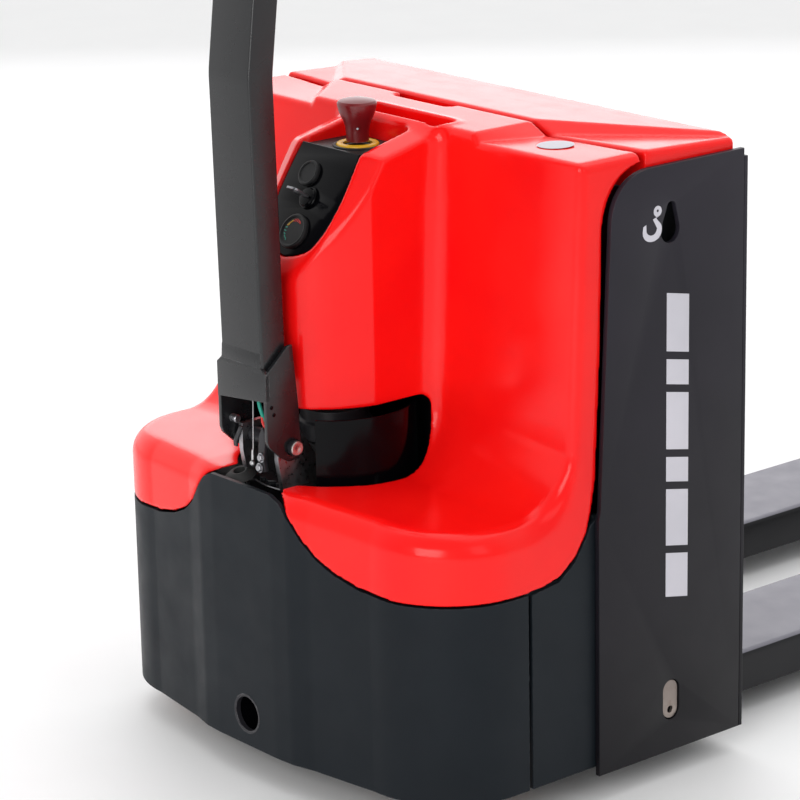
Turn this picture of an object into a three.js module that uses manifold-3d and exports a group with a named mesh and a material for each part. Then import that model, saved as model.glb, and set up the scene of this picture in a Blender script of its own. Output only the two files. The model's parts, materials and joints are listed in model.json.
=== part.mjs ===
// Electric walkie pallet truck: drive unit and covers at the front, lifting frame with two forks
// behind. Millimetres, +Z up, +Y along the forks, +X to the right seen from the tiller.
// Everything is laid out from the fork face (Y = 0 at the back of the side plates) and the floor
// (Z = 0); the whole assembly is then moved so that its origin is the middle of its footprint.
import * as THREE from 'three';
import { mergeVertices } from 'three/addons/utils/BufferGeometryUtils.js';
import Module from 'manifold-3d';

const wasm = await Module();
wasm.setup();

// Driving dimensions
const truckWidth = 720;         // over the side plates
const frontY = -530;            // front of the apron
const forkLength = 1150;        // fork face to fork tip
const forkWidth = 170;
const forkSpread = 540;         // over both forks
const forkTop = 85;             // top of the lowered forks
const forkDepth = 55;
const forkWall = 6;
const groundGap = 35;           // under the side plates
const plateThick = 8;
const plateTop = 800;
const plateFront = -252;
const steerY = -375;            // steering axis, X = 0
const columnR = 95;             // red steering column
const slotR = 122;              // round opening under the column where the drum shows
const slotHigh = 487;
const drumR = 106;
const driveWheelR = 115;
const driveWheelW = 75;
const casterX = 245;
const casterY = -400;
const casterR = 57.5;
const casterTrail = 25;
const pivotY = -480;            // tiller hinge pin
const pivotZ = 445;
const tubeW = 79;
const tubeD = 40;
const kinkZ = 900;
const tubeLean = 1.8;           // degrees towards the operator, below the kink
const headLean = 6.9;           // degrees towards the truck, above the kink
const tubeTopZ = 1100;
const headTilt = 15;            // degrees towards the operator
const wingTop = 818;            // red tops beside the deck
const deckTop = 828;
const loadWheelR = 37;
const loadArm = 170;
const loadPivotY = 860;
const loadPivotZ = 50;
const torsionY = -128;
const torsionZ = 95;
const linkZ = 70;               // push rods inside the forks
const liftX = -200;             // lift cylinder
const liftY = -207;
const boxFront = -172;          // front wall of the battery box
const stopY = -327;             // emergency stop
const gap = 0.3;

const inX = truckWidth / 2 - plateThick;      // inner face of the side plates
const forkMid = forkSpread / 2 - forkWidth / 2;
const deg = Math.PI / 180;

// Finishes
const finish = (color, roughness, metalness = 0) => ({ color, roughness, metalness });
const red = finish(0xe3241c, 0.25);
const blackPlate = finish(0x2a2930, 0.5, 0.3);
const blackPlastic = finish(0x1d2024, 0.55);
const glossBlack = finish(0x0d0d10, 0.2);
const steel = finish(0x9a9ca0, 0.4, 0.8);
const castIron = finish(0x55565a, 0.7, 0.6);
const darkPaint = finish(0x33343a, 0.45, 0.3);
const alloy = finish(0xb5b7ba, 0.4, 0.8);
const rubber = finish(0x1a1a1a, 0.85);
const amber = finish(0xc98b2a, 0.5);
const yellow = finish(0xf2c200, 0.4);
const greyPlastic = finish(0x6c7078, 0.6);

const root = new THREE.Group();

function add(name, geometry, look) {
  const mesh = new THREE.Mesh(geometry, new THREE.MeshStandardMaterial(look));
  mesh.name = name;
  root.add(mesh);
  return mesh;
}

// Solids for joining and cutting
function solid(geometry) {
  let g = geometry.clone();
  for (const key of ['normal', 'uv']) if (g.getAttribute(key)) g.deleteAttribute(key);
  g.clearGroups();
  g = mergeVertices(g, 1e-4);
  const mesh = new wasm.Mesh({
    numProp: 3,
    vertProperties: new Float32Array(g.getAttribute('position').array),
    triVerts: new Uint32Array(g.index.array),
  });
  mesh.merge();
  return new wasm.Manifold(mesh);
}

function unsolid(body) {
  const m = body.getMesh();
  const g = new THREE.BufferGeometry();
  g.setAttribute('position', new THREE.BufferAttribute(new Float32Array(m.vertProperties), 3));
  g.setIndex(new THREE.BufferAttribute(new Uint32Array(m.triVerts), 1));
  const flat = g.toNonIndexed();
  flat.computeVertexNormals();
  return flat;
}

const join = (...gs) => unsolid(gs.map(solid).reduce((a, b) => a.add(b)));
const cut = (base, ...tools) => unsolid(tools.map(solid).reduce((a, b) => a.subtract(b), solid(base)));
const common = (a, b) => unsolid(solid(a).intersect(solid(b)));

// Box from corner to corner
function box(x0, x1, y0, y1, z0, z1) {
  const g = new THREE.BoxGeometry(x1 - x0, y1 - y0, z1 - z0);
  return g.translate((x0 + x1) / 2, (y0 + y1) / 2, (z0 + z1) / 2);
}

// Cylinder along an axis, from a to b on it, centred on the other two coordinates
function rod(axis, r, a, b, c1, c2, sides = 16, rEnd = r) {
  const g = new THREE.CylinderGeometry(rEnd, r, b - a, sides);
  const mid = (a + b) / 2;
  if (axis === 'x') return g.rotateZ(-Math.PI / 2).translate(mid, c1, c2);
  if (axis === 'y') return g.translate(c1, mid, c2);
  return g.rotateX(Math.PI / 2).translate(c1, c2, mid);
}

// Outline pushed along an axis: 'x' takes (y, z) points, 'y' takes (x, z), 'z' takes (x, y)
function slab(axis, points, a, b, holes = []) {
  const shape = points instanceof THREE.Shape ? points
    : new THREE.Shape(points.map(([u, v]) => new THREE.Vector2(u, v)));
  for (const [u, v, r, n = 14] of holes) {
    const ring = [...Array(n)].map((_, i) => new THREE.Vector2(
      u + r * Math.cos(i / n * 2 * Math.PI), v + r * Math.sin(i / n * 2 * Math.PI)));
    shape.holes.push(new THREE.Path(ring));
  }
  const g = new THREE.ExtrudeGeometry(shape, { depth: b - a, bevelEnabled: false, curveSegments: 3 });
  if (axis === 'x') {
    return g.applyMatrix4(new THREE.Matrix4().set(0, 0, 1, a, 1, 0, 0, 0, 0, 1, 0, 0, 0, 0, 0, 1));
  }
  if (axis === 'y') return g.rotateX(Math.PI / 2).translate(0, b, 0);
  return g.translate(0, 0, a);
}

// Rounded rectangle outline
function roundRect(x0, x1, y0, y1, r) {
  const s = new THREE.Shape();
  s.moveTo(x0 + r, y0).lineTo(x1 - r, y0).absarc(x1 - r, y0 + r, r, -Math.PI / 2, 0);
  s.lineTo(x1, y1 - r).absarc(x1 - r, y1 - r, r, 0, Math.PI / 2);
  s.lineTo(x0 + r, y1).absarc(x0 + r, y1 - r, r, Math.PI / 2, Math.PI);
  s.lineTo(x0, y0 + r).absarc(x0 + r, y0 + r, r, Math.PI, 1.5 * Math.PI);
  return s;
}

// Skin between rings of equal point count, closed at both ends
function loft(rings) {
  const n = rings[0].length;
  const pos = rings.flat(2);
  const index = [];
  for (let k = 0; k + 1 < rings.length; k++) {
    for (let i = 0; i < n; i++) {
      const a = k * n + i, b = k * n + (i + 1) % n;
      index.push(a, b, b + n, a, b + n, a + n);
    }
  }
  const flat = (ring) => ring.map(([x, y]) => new THREE.Vector2(x, y));
  const top = (rings.length - 1) * n;
  for (const [a, b, c] of THREE.ShapeUtils.triangulateShape(flat(rings[0]), [])) index.push(a, c, b);
  for (const [a, b, c] of THREE.ShapeUtils.triangulateShape(flat(rings.at(-1)), [])) {
    index.push(top + a, top + b, top + c);
  }
  const g = new THREE.BufferGeometry();
  g.setAttribute('position', new THREE.Float32BufferAttribute(pos, 3));
  g.setIndex(index);
  return g.toNonIndexed();
}

// Turned profile of [radius, height] points about Z, moved to (x, y)
function turned(profile, x, y, sides = 20) {
  const g = new THREE.LatheGeometry(profile.map(([r, h]) => new THREE.Vector2(r, h)), sides);
  return g.rotateX(Math.PI / 2).translate(x, y, 0);
}

// Wheel body turned about X: closed ring profile of [radius, x]
function wheelRing(profile, x, y, z, sides = 24) {
  const pts = [...profile, profile[0]].map(([r, h]) => new THREE.Vector2(r, h));
  return new THREE.LatheGeometry(pts, sides).rotateZ(-Math.PI / 2).translate(x, y, z);
}

// Round bar along a path of points
function bar(points, r, sides = 8, steps = 16) {
  const ring = [...Array(sides)].map((_, i) => new THREE.Vector2(
    r * Math.cos(i / sides * 2 * Math.PI), r * Math.sin(i / sides * 2 * Math.PI)));
  const path = new THREE.CatmullRomCurve3(points.map((p) => new THREE.Vector3(...p)), false, 'centripetal');
  return new THREE.ExtrudeGeometry(new THREE.Shape(ring), { steps, extrudePath: path, bevelEnabled: false });
}

// Plan outline shared by the apron and the front skirt: flat nose, swept wings, round corners
function planOutline(inset, backY) {
  const half = [[0, frontY], [70, frontY], [115, -519], [178, -512], [225, -505]];
  for (let i = 1; i <= 8; i++) {
    const t = i / 8 * Math.PI / 2;
    half.push([225 + 126 * Math.sin(t), -385 - 120 * Math.cos(t)]);
  }
  const last = half.length - 1;
  const right = half.map(([x, y], i) => {
    if (i === 0) return [0, y + inset];
    if (i === last) return [x - inset, y];
    const [ax, ay] = half[i - 1];
    const [bx, by] = half[i + 1];
    const len = Math.hypot(bx - ax, by - ay);
    return [x - (by - ay) / len * inset, y + (bx - ax) / len * inset];
  });
  right.push([half[last][0] - inset, backY]);
  return [...right, ...right.slice(1).reverse().map(([x, y]) => [-x, y])];
}

const ring = (pts, z) => pts.map(([x, y]) => [x, y, z]);

// Line of the apron's top edge: raised in the middle for the tiller, low along both sides
const apronLine = [[0, 397], [66, 396], [78, 388], [94, 368], [112, 345], [135, 327], [165, 314],
  [205, 304], [260, 300], [352, 301]];

// Everything above the apron's top line, as a block to cut with
function apronBlock(farZ) {
  const line = [...apronLine.slice(1).reverse().map(([x, z]) => [-x, z]), ...apronLine];
  return slab('y', [...line, [400, farZ], [-400, farZ]], frontY - 30, -340);
}

// Chassis of the drive unit: rear wall, deck plate with the motor hole, sides and caster shelves
function chassisFrame() {
  const side = [[-355, 45], [-242, 45], [-242, 376], [-258, 366], [-266, 350], [-284, 324],
    [-310, 305], [-355, 299]];
  const deck = [[-345, -358], [-338, -400], [-240, -480], [240, -480], [338, -400], [345, -358],
    [345, -242], [-345, -242]];
  const parts = [box(-345, 345, -250, -242, 60, 376), box(-330, 330, -250, -242, 370, 640),
    box(liftX - 30, liftX + 30, -250, -181, 60, 69.7),
    slab('z', deck, 296, 306, [[0, steerY, 84, 40]])];
  for (const s of [-1, 1]) {
    const span = (a, b) => (s > 0 ? [a, b] : [-b, -a]);
    parts.push(slab('x', side, ...span(343, 351)));
    const shelf = [[188, -470], [262, -470], [338, -400], [345, -358], [345, -243], [188, -243]];
    parts.push(slab('z', s > 0 ? shelf : shelf.map(([x, y]) => [-x, y]).reverse(), 186, 194));
    parts.push(box(...span(188, 196), -470, -243, 190, 300));
  }
  return join(...parts);
}

function frontApron() {
  return cut(slab('z', planOutline(0, -361), 45, 400), slab('z', planOutline(6, -340), 30, 420),
    apronBlock(500), rod('y', 25, -560, -480, 0, 88, 28));
}

// Dash slope on the column: crease under the stop button, then down the nose
const dashTop = [-366, 797];
const dashLow = [-445, 673];
const dashShape = [[-60, 740], [-54, 703], [-34, 684], [0, 675], [34, 684], [54, 703], [60, 740]];

// Red front cover as a shape pulled in by t: skirt, wings, rear overhang, deck and column
function coverShape(t) {
  const w = inX - 1 - t;
  const wingRing = (front, back, z) => ring([[-w, front + 14], [-w + 14, front], [w - 14, front],
    [w, front + 14], [w, back], [-w, back]], z);
  const open = t > 0 ? 120 : 0;      // the hollow runs out through the open back
  const nose = [[92 - t, -270]];
  for (let i = 0; i <= 12; i++) {
    const a = -i / 12 * Math.PI;
    nose.push([(92 - t) * Math.cos(a), steerY + (columnR - t) * Math.sin(a)]);
  }
  nose.push([-92 + t, -270]);
  const slopeOut = t * 1.2;
  const slope = slab('x', [[-300, 830], [-300, 812 - t], [dashTop[0] + slopeOut, dashTop[1] - t],
    [dashLow[0] + slopeOut, dashLow[1]], [-475 + slopeOut, 626], [-540, 626], [-540, 830]], -200, 200);
  const column = cut(slab('z', nose.reverse(), slotHigh - (t > 0 ? 60 : 0), 812 - t), slope);
  const skirt = loft([ring(planOutline(t, -244), 270 - t), ring(planOutline(t, -244), 345 - t),
    ring(planOutline(26 + t, -244), 372 - t)]);
  const wings = loft([wingRing(-318 + t, -244, 330 - t), wingRing(-290 + t, -244, 395 - t),
    wingRing(-272 + t, -244, wingTop - t)]);
  const overhang = box(-w, w, -262, -178 + open, 748, wingTop - t);
  const deckRing = (half, front, z) => ring([[-half + t, front + t], [half - t, front + t],
    [half - t, -178 + open], [-half + t, -178 + open]], z);
  const deck = loft([deckRing(190, -282, 780), deckRing(172, -276, wingTop - 2),
    deckRing(155, -268, deckTop - t)]);
  const back = t > 0 ? [box(-w, w, -250, -130, 260, 748.5)] : [];
  return join(skirt, wings, overhang, deck, column, ...back);
}

function frontCover() {
  const belowSkirt = slab('y', [[-400, 200], [400, 200], [400, 303], ...apronLine.slice().reverse()
    .map(([x, z]) => [x, z + 2.5]), ...apronLine.slice(1).map(([x, z]) => [-x, z + 2.5]), [-400, 303]],
    frontY - 30, -357);
  const sideEdge = [[-357.5, 200], [-357.5, 303], [-338, 304], [-308, 311], [-282, 331], [-264, 358],
    [-256, 386], [-249, 424], [-240, 600], [-238, 700], [-236, 722], [-229, 746], [-214, 768],
    [-196, 786], [-178, 800], [-100, 800], [-100, 200]];
  const sideCut = slab('x', sideEdge, -400, 400);
  const sides = common(sideCut, join(box(inX - 40, 420, -400, -90, 190, 820),
    box(-420, -inX + 40, -400, -90, 190, 820)));
  const slotEnd = rod('z', slotR, 250, slotHigh, 0, steerY, 36);
  const pocket = slab('z', roundRect(-50, 50, -372, -292, 12), dashTop[1] - 0.5, 840);
  const storage = slab('z', roundRect(-94, 100, -268, -240, 12), 806, 840);
  const notch = box(-116, 26, -188, -150, 812, 840);
  const pocketWell = slab('z', roundRect(-54, 54, -378, -288, 12), dashTop[1] - 4.5, 840);
  const storageWell = slab('z', roundRect(-98, 104, -272, -236, 12), 802, 840);
  const notchWell = box(-120, 30, -192, -100, 808, 840);
  const hollow = cut(coverShape(4), pocketWell, storageWell, notchWell);
  return cut(coverShape(0), hollow, belowSkirt, sides, slotEnd, pocket, storage, notch);
}

const dashAngle = Math.atan2(dashTop[0] - dashLow[0], dashTop[1] - dashLow[1]);

// Flat piece lying on the dash slope: u across, v down the slope from the crease
function onDash(geometry, u, v, lift) {
  const y = dashTop[0] - Math.sin(dashAngle) * v - Math.cos(dashAngle) * lift;
  const z = dashTop[1] - Math.cos(dashAngle) * v + Math.sin(dashAngle) * lift;
  return geometry.rotateX(Math.PI / 2 - dashAngle).translate(u, y, z);
}

function dashPanel() {
  const k = 1 / Math.cos(dashAngle);
  const face = dashShape.map(([x, z]) => [x, (z - dashTop[1]) * k]);
  const outline = [[-57, 0], ...face, [57, 0]];
  const plate = onDash(slab('z', outline, gap, 5), 0, 0, 0);
  const well = onDash(rod('z', 12.3, -2, 8, 0, 0, 24), 0, 68, 0);
  return cut(plate, well);
}

// Instrument or knob turned about the dash's normal
function dashRound(profile, u, v, lift, sides = 18) {
  return onDash(turned(profile, 0, 0, sides), u, v, lift);
}

// Wheel unit that steers: turntable with ears, gearbox, motor, brake, drum
function turntable() {
  const plate = slab('z', roundRect(-104, 104, steerY - 104, steerY + 104, 102), 306.5, 318,
    [[0, steerY, 62, 32]]);
  const parts = [plate];
  for (const s of [-1, 1]) {
    const x = s * 36;
    const ear = [[-478, 318], [-434, 318], [-434, 420], [-462, 462], [-498, 462], [-498, 428]];
    parts.push(slab('x', ear.map(([y, z]) => [y, z]), x - 4, x + 4, [[pivotY, pivotZ, 10.3]]));
    parts.push(box(x - 4, x + 4, -478, -434, 312, 324));
  }
  return join(...parts);
}

function drum() {
  const pts = [];
  for (let i = 0; i <= 24; i++) {
    const a = (-90 + 38 + i / 24 * 284) * deg;
    pts.push([drumR * Math.cos(a), steerY + drumR * Math.sin(a)]);
  }
  const inner = pts.map(([x, y]) => [x * 0.96, steerY + (y - steerY) * 0.96]).reverse();
  return slab('z', [...pts, ...inner], 318.5, 478);
}

function driveGearbox() {
  const arm = slab('x', [[-400, 275], [-345, 275], [-335, 210], [-345, 90], [-360, 70], [-390, 70],
    [-405, 90], [-412, 210]], -62, -42, []);
  const top = rod('z', 60, 245, 296, 0, steerY, 32);
  return join(arm, top, rod('x', 22, -70, -40, steerY, driveWheelR, 24), box(-60, 20, -400, -350, 238, 290));
}

function driveHub() {
  return wheelRing([[14, -34], [42, -34], [46, -26], [95, -26], [103, -37], [103, 37],
    [92, 20], [46, 20], [42, 34], [14, 34]], 0, steerY, driveWheelR, 32);
}

function driveTyre() {
  const h = driveWheelW / 2;
  return wheelRing([[103.3, -h], [driveWheelR - 4, -h], [driveWheelR, -h + 5], [driveWheelR, h - 5],
    [driveWheelR - 4, h], [103.3, h]], 0, steerY, driveWheelR, 32);
}

function tractionMotor() {
  const fins = [[0, 296.3], [58, 296.3], [58, 318]];
  for (let i = 0; i < 4; i++) {
    const z = 322 + i * 24;
    fins.push([60, z], [60, z + 14], [55, z + 15], [55, z + 23]);
  }
  fins.push([60, 420], [52, 430], [0, 430]);
  return turned(fins, 0, steerY, 16);
}

const brake = () => turned([[0, 430.3], [48, 430.3], [48, 452], [44, 455], [44, 470], [14, 474], [0, 474]],
  0, steerY, 20);

// Caster: swivel top and leaning fork, in its own frame at the swivel axis
function casterFork(s) {
  const x = s * casterX, y = casterY + casterTrail;
  const cheek = [[casterY - 26, 168], [casterY + 26, 168], [y + 16, 100], [y + 14, casterR - 12],
    [y - 14, casterR - 12], [y - 20, 100]];
  const parts = [slab('z', roundRect(x - 36, x + 36, casterY - 36, casterY + 36, 30), 166, 174),
    rod('z', 30, 172, 185.7, x, casterY), rod('x', 6, x - 36, x + 36, y, casterR, 10)];
  for (const k of [-1, 1]) parts.push(slab('x', cheek, x + k * 33 - 2.5, x + k * 33 + 2.5));
  return join(...parts);
}

function casterWheel(s) {
  return wheelRing([[6.4, -27], [22, -27], [26, -24], [casterR, -21], [casterR, 21], [26, 24],
    [22, 27], [6.4, 27]], s * casterX, casterY + casterTrail, casterR, 24);
}

// Tiller
const tillerSolid = {
  bracket() {
    const cheek = [[-521, 548], [-487, 577], [-478, 577], [-471, 500], [-468, 432], [-478, 410],
      [-500, 408], [-517, 424], [-521, 440]];
    const body = slab('x', cheek, -51.5, 51.5, [[pivotY, pivotZ, 10.4]]);
    const inside = join(box(-46, 46, -516, -400, 400, 620), box(-46, 46, -540, -500, 400, 505));
    return cut(body, inside);
  },
  // Rectangular steel tube, open at both ends, with the kink near the top
  tube() {
    const lean = Math.tan(tubeLean * deg), back = Math.tan(headLean * deg);
    const low = 520;
    const yLow = (z) => -498 - (z - 640) * lean;
    const yTop = (z) => yLow(kinkZ) + (z - kinkZ) * back;
    const section = (half, deep, z, y) => ring([[-half, y - deep], [half, y - deep], [half, y + deep],
      [-half, y + deep]], z);
    const shape = (half, deep, a, b) => loft([section(half, deep, a, yLow(a)),
      section(half, deep, kinkZ, yLow(kinkZ)), section(half, deep, b, yTop(b))]);
    const outer = shape(tubeW / 2, tubeD / 2, low, tubeTopZ);
    return cut(outer, shape(tubeW / 2 - 4, tubeD / 2 - 4, low - 20, tubeTopZ + 20));
  },
};

// Tiller head, drawn upright at its own foot and then tilted onto the tube
function onHead(geometry) {
  const y = -498 - (kinkZ - 640) * Math.tan(tubeLean * deg) + (tubeTopZ - kinkZ) * Math.tan(headLean * deg);
  return geometry.rotateX(headTilt * deg).translate(0, y, tubeTopZ + 14);
}

function coreBlock(grow = 0) {
  const rect = (hx, hy, z) => {
    const [a, b, c] = [hx + grow, hy + grow, 10];
    return ring([[-a + c, -b], [a - c, -b], [a, -b + c], [a, b - c], [a - c, b], [-a + c, b],
      [-a, b - c], [-a, -b + c]], z);
  };
  return loft([rect(40, 26, -4), rect(50, 32, 36), rect(50, 34, 130), rect(44, 29, 165)]);
}

const throttleZ = 112;
const buttonSpots = { lift_button: [-18, 72, 10], lower_button: [18, 72, 10], horn_button: [0, 42, 8] };

function headCore() {
  const neck = box(-34, 34, -18, 18, -2, 16);
  const y = onHead(new THREE.BufferGeometry().setFromPoints([new THREE.Vector3()])).getAttribute('position');
  neck.translate(0, y.getY(0), tubeTopZ + 2.3);
  const cuts = [slab('z', roundRect(-28, 28, -18, 18, 8), 146, 170),
    rod('x', 7.4, -80, 80, -10, throttleZ, 20)];
  for (const [x, z, r] of Object.values(buttonSpots)) cuts.push(rod('y', r + 0.4, -60, -24, x, z, 20));
  return join(onHead(cut(coreBlock(), ...cuts)), neck);
}

function grip(s) {
  const path = [[s * 30, 0, 12], [s * 85, -2, 12], [s * 128, -4, 24], [s * 152, -5, 62], [s * 154, -5, 108],
    [s * 132, -4, 143], [s * 90, -2, 154], [s * 30, 0, 154]];
  return onHead(cut(bar(path, 14), coreBlock(gap)));
}

function throttle() {
  const parts = [rod('x', 7, -76, 76, -10, throttleZ, 20)];
  for (const s of [-1, 1]) {
    const wing = roundRect(-38, 14, throttleZ - 9, throttleZ + 9, 8);
    parts.push(slab('x', wing, s > 0 ? 53 : -79, s > 0 ? 79 : -53));
  }
  return onHead(join(...parts));
}

const headButton = ([x, z, r]) => onHead(rod('y', r, -39, -29, x, z, 20));
const bellyButton = () => onHead(slab('z', roundRect(-27.5, 27.5, -17.5, 17.5, 8), 155, 175));

// Lifting frame and forks
function liftFrame() {
  const wall = cut(box(-360, 360, -6, 0, 35, 790), ...[-1, 1].map((s) => box(s * forkMid - 72,
    s * forkMid + 72, -20, 10, 20, 79)));
  return join(wall, box(-351.5, 351.5, boxFront, -3, 120, 126),
    box(-351.5, 351.5, boxFront, boxFront + 6, 120, 770),
    box(liftX - 30, liftX + 30, -236, boxFront + 3, 560, 572));
}

// Side plate with lifting keyhole and pivot window, outline in (y, z)
function sidePlate(s) {
  const shape = new THREE.Shape();
  shape.moveTo(-6.3, groundGap).lineTo(-6.3, plateTop).lineTo(-170, plateTop);
  shape.bezierCurveTo(-205, plateTop - 2, -230, 775, -231, 741);
  shape.lineTo(-249, 384).lineTo(plateFront, 372).lineTo(plateFront, groundGap);
  const key = new THREE.Path();
  key.absarc(-133, 718, 16, Math.PI * 0.9, Math.PI * 2.1).lineTo(-125, 746);
  key.absarc(-131, 746, 7, 0, Math.PI).closePath();
  const pivot = new THREE.Path();
  pivot.absarc(-128, 92, 14, Math.PI, 2 * Math.PI).absarc(-128, 118, 14, 0, Math.PI).closePath();
  shape.holes.push(key, pivot);
  const a = truckWidth / 2 - plateThick;
  return s > 0 ? slab('x', shape, a, a + plateThick) : slab('x', shape, -a - plateThick, -a);
}

// Oval lock plate of the pivot shaft, seen through the lower window of each side plate
function lockPlate(s) {
  const shape = new THREE.Shape();
  shape.absarc(-128, 92, 13, Math.PI, 2 * Math.PI).absarc(-128, 118, 13, 0, Math.PI);
  shape.closePath();
  const x = truckWidth / 2 - plateThick + 1;
  return slab('x', shape, s > 0 ? x : -x - 5, s > 0 ? x + 5 : -x, [[-128, 89, 4, 12]]);
}

function fork(s) {
  const m = s * forkMid, h = forkWidth / 2, t = forkWall, low = forkTop - forkDepth;
  const section = [[m - h, low], [m - h + t, low], [m - h + t, forkTop - t], [m + h - t, forkTop - t],
    [m + h - t, low], [m + h, low], [m + h, forkTop - 9], [m + h - 3, forkTop - 3], [m + h - 9, forkTop],
    [m - h + 9, forkTop], [m - h + 3, forkTop - 3], [m - h, forkTop - 9]];
  const channel = slab('y', section, gap, forkLength - 20);
  const nose = slab('x', [[forkLength - 80, forkTop], [forkLength - 80, 79], [forkLength - 60, 60],
    [forkLength - 60, low], [forkLength - 30, low], [forkLength, low + 16], [forkLength, low + 24]],
  m - h, m + h);
  const plan = new THREE.Shape();
  plan.moveTo(m - h, gap).lineTo(m + h, gap).lineTo(m + h, forkLength - 60);
  plan.bezierCurveTo(m + h, forkLength - 20, m + 60, forkLength, m + 30, forkLength);
  plan.lineTo(m - 30, forkLength);
  plan.bezierCurveTo(m - 60, forkLength, m - h, forkLength - 20, m - h, forkLength - 60);
  return common(join(channel, nose), slab('z', plan, 0, 100));
}

function loadArmPart(s) {
  const m = s * forkMid;
  const axleY = loadPivotY + Math.sqrt(loadArm ** 2 - (loadPivotZ - loadWheelR) ** 2);
  const cheek = [[loadPivotY - 14, loadPivotZ - 8], [loadPivotY, loadPivotZ - 15], [axleY, loadWheelR - 13],
    [axleY + 13, loadWheelR - 4], [axleY + 13, loadWheelR + 5], [axleY, loadWheelR + 14],
    [loadPivotY + 6, loadPivotZ + 14], [loadPivotY - 12, loadPivotZ + 10]];
  const parts = [rod('x', 11, m - 76, m + 76, loadPivotY, loadPivotZ, 14),
    rod('x', 9, m - 46, m + 46, axleY, loadWheelR, 12),
    slab('x', [[loadPivotY - 8, loadPivotZ], [loadPivotY + 8, loadPivotZ], [loadPivotY + 5, linkZ + 5],
      [loadPivotY - 5, linkZ + 5]], m - 12, m + 12)];
  for (const k of [-1, 1]) parts.push(slab('x', cheek, m + k * 42 - 3.5, m + k * 42 + 3.5));
  return join(...parts);
}

function loadWheel(s) {
  const axleY = loadPivotY + Math.sqrt(loadArm ** 2 - (loadPivotZ - loadWheelR) ** 2);
  return wheelRing([[9.4, -36], [22, -36], [loadWheelR, -33], [loadWheelR, 33], [22, 36], [9.4, 36]],
    s * forkMid, axleY, loadWheelR, 24);
}

function torsionShaft() {
  const parts = [rod('x', 16, -349, 349, torsionY, torsionZ, 24)];
  for (const s of [-1, 1]) {
    const m = s * forkMid;
    parts.push(slab('x', [[torsionY - 14, torsionZ], [torsionY - 8, linkZ - 8], [torsionY + 8, linkZ - 8],
      [torsionY + 14, torsionZ]], m - 12, m + 12));
  }
  return join(...parts);
}

const pushRod = (s) => rod('y', 8, torsionY + 13, loadPivotY - 16, s * forkMid, linkZ, 12);

function battery() {
  const parts = [box(-312, 312, -160, -20, 126.5, 735)];
  for (let i = 0; i < 6; i++) {
    parts.push(rod('z', 14, 730, 742, -260 + i * 104, -90, 8));
  }
  return join(...parts);
}

function batteryPlug() {
  return join(box(190, 240, -150, -118, 735.3, 752), box(198, 232, -146, -122, 750, 760));
}

// Battery lid: low sides, raised middle, open below
function lidShape(t) {
  const w = inX - 1 - t;
  const rect = (hx, y0, y1, z) => ring([[-hx, y0], [hx, y0], [hx, y1], [-hx, y1]], z);
  const low = t > 0 ? 740 : 764;
  return join(loft([rect(w, -160 + t, -14 - t, low), rect(w, -160 + t, -14 - t, 812 - t),
    rect(w - 8, -158 + t, -20 - t, wingTop - t)]),
  loft([rect(190 - t, -160 + t, -20 - t, 790), rect(172 - t, -160 + t, -20 - t, wingTop - 2),
    rect(154 - t, -160 + t, -22 - t, deckTop - t)]));
}

function lid() {
  return cut(lidShape(0), lidShape(4));
}

// Hydraulic lift: barrel on the chassis, ram under the lifting frame
const liftBarrel = () => turned([[15, 75], [26, 75], [26, 396], [22, 400], [15, 400], [15, 75]],
  liftX, liftY, 20);
const liftRam = () => rod('z', 14.6, 110, 559.7, liftX, liftY, 16);


add('front_cover', frontCover(), red);
add('front_apron', frontApron(), blackPlate);
add('chassis_frame', chassisFrame(), darkPaint);
add('dash_panel', dashPanel(), glossBlack);
add('battery_gauge', dashRound([[0, 0.3], [23, 0.3], [23, 4], [21, 6], [0, 6]], 2, 114, 5), glossBlack);
add('hour_meter', dashRound([[0, 0.3], [17, 0.3], [17, 4], [15, 6], [0, 6]], -16, 38, 5), glossBlack);
add('key_switch', dashRound([[0, -4], [12, -4], [12, 0.3], [13.5, 0.3], [13.5, 4], [11, 6], [0, 6]],
  0, 68, 5), steel);
add('ignition_key', onDash(slab('y', roundRect(-10, 10, 6.3, 34, 5), -1.3, 1.3, [[0, 25, 4, 14]]),
  0, 68, 5), steel);
add('stop_base', turned([[18.2, 797], [29, 797], [29, 801], [25, 805], [18.2, 805], [18.2, 797]],
  0, stopY), yellow);
add('stop_knob', turned([[0, 803], [16, 803], [17.6, 806], [17.6, 828], [25, 838], [25, 850], [20, 855],
  [0, 857]], 0, stopY), red);
add('turntable', turntable(), steel);
add('drum_guard', drum(), glossBlack);
add('pivot_pin', rod('x', 10, -56, 56, pivotY, pivotZ, 20), alloy);
add('drive_gearbox', driveGearbox(), castIron);
add('drive_wheel_hub', driveHub(), alloy);
add('drive_wheel_tyre', driveTyre(), rubber);
add('traction_motor', tractionMotor(), castIron);
add('motor_brake', brake(), darkPaint);
for (const [side, s] of [['left', -1], ['right', 1]]) {
  add(`caster_fork_${side}`, casterFork(s), steel);
  add(`caster_wheel_${side}`, casterWheel(s), amber);
}
add('tiller_bracket', tillerSolid.bracket(), blackPlate);
add('tiller_tube', tillerSolid.tube(), blackPlate);
add('head_core', headCore(), blackPlastic);
add('grip_left', grip(-1), rubber);
add('grip_right', grip(1), rubber);
add('throttle', throttle(), greyPlastic);
for (const [name, spot] of Object.entries(buttonSpots)) add(name, headButton(spot), greyPlastic);
add('belly_button', bellyButton(), red);
add('lift_frame', liftFrame(), blackPlate);
for (const [side, s] of [['left', -1], ['right', 1]]) {
  add(`side_plate_${side}`, sidePlate(s), blackPlate);
  add(`lock_plate_${side}`, lockPlate(s), steel);
  add(`fork_${side}`, fork(s), darkPaint);
  add(`load_arm_${side}`, loadArmPart(s), steel);
  add(`load_wheel_${side}`, loadWheel(s), amber);
  add(`push_rod_${side}`, pushRod(s), steel);
}
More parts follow.
